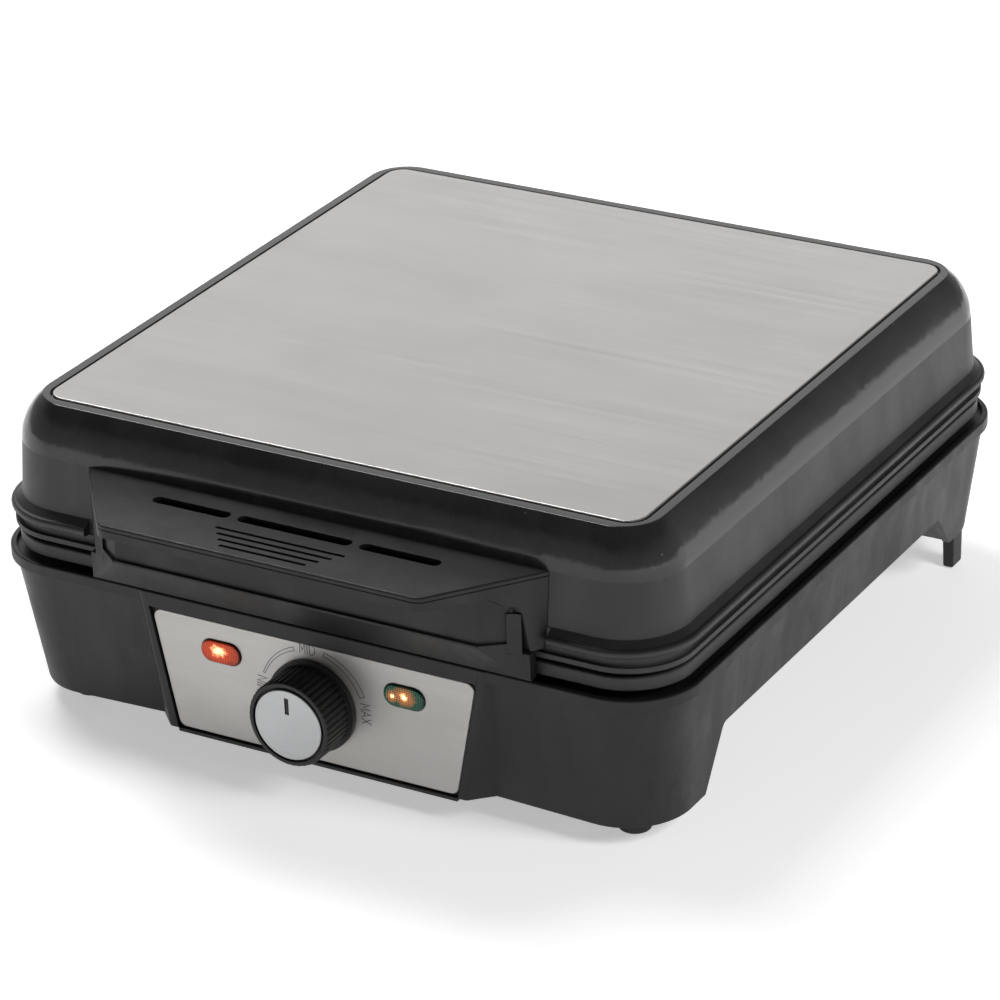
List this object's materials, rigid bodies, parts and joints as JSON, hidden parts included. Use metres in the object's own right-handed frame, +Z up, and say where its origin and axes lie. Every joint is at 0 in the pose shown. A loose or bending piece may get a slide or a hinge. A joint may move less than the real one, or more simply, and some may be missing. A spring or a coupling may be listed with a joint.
{
  "type": "waffle maker",
  "caption": "Square waffle maker: hinged lid with handle and steel trim plate, pegged waffle plates, legged base with dial thermostat and indicator lamps.",
  "frame": {"origin": "on the ground, under the middle of the bounding box of the closed object", "axes": "+Z up; the handle and control panel face -Y; +X to the right seen from above with the front towards the viewer"},
  "size_m": [0.2908, 0.3392, 0.1255],
  "materials": {
    "black_plastic": "fine grain, satin",
    "lid_plastic": "satin",
    "trim_steel": "brushed left to right",
    "nonstick_cast": "dark non-stick coating",
    "element_steel": "heat-tinted",
    "zinc_steel": "zinc plated",
    "shield_aluminium": "bright rolled sheet",
    "screw_steel": "plated",
    "hinge_steel": "satin black",
    "red_lens": "clear, gloss",
    "green_lens": "clear, gloss",
    "lamp_holder": "satin",
    "ceramic": "glazed",
    "foot_rubber": "matte",
    "silver_cap": "silver satin",
    "gland_plastic": "satin"
  },
  "bodies": {
    "base": {"base_housing": "black_plastic", "base_bottom_cover": "black_plastic", "base_cover_screws": "screw_steel", "lower_waffle_plate": "nonstick_cast", "lower_heating_element": "element_steel", "lower_element_clamps": "zinc_steel", "lower_heat_shield": "shield_aluminium", "plate_standoffs": "zinc_steel", "panel_bezel": "black_plastic", "control_panel": "trim_steel", "power_lens": "red_lens", "ready_lens": "green_lens", "indicator_lamps": "lamp_holder", "thermostat_body": "ceramic", "thermostat_bracket": "zinc_steel", "cord_gland": "gland_plastic", "terminal_block": "ceramic", "front_feet": "foot_rubber", "rear_legs": "black_plastic", "hinge_mount_left": "black_plastic", "hinge_mount_right": "black_plastic", "hinge_bracket_left": "hinge_steel", "hinge_bracket_right": "hinge_steel", "hinge_pins": "screw_steel", "base_hinge_screws": "screw_steel"},
    "lid": {"lid_cover": "lid_plastic", "lid_trim_plate": "trim_steel", "upper_waffle_plate": "nonstick_cast", "upper_heating_element": "element_steel", "upper_element_clamps": "zinc_steel", "upper_heat_shield": "shield_aluminium", "handle_top_panel": "black_plastic", "handle_frame": "black_plastic", "handle_grip_block": "black_plastic", "lid_hinge_arm_left": "hinge_steel", "lid_hinge_arm_right": "hinge_steel", "lid_hinge_screws": "screw_steel"},
    "knob_body": {"knob": "black_plastic", "knob_cap": "silver_cap", "thermostat_shaft": "zinc_steel"}
  },
  "joints": [
    {"name": "lid_hinge", "type": "hinge", "parent": "base", "child": "lid", "pos_m": [0, 0.163, 0.0746], "axis": [-1, 0, 0], "range_deg": [0, 100]},
    {"name": "knob_turn", "type": "hinge", "parent": "base", "child": "knob_body", "pos_m": [0, -0.137, 0.0343], "axis": [0, -1, 0], "range_deg": [-100, 100]}
  ]
}
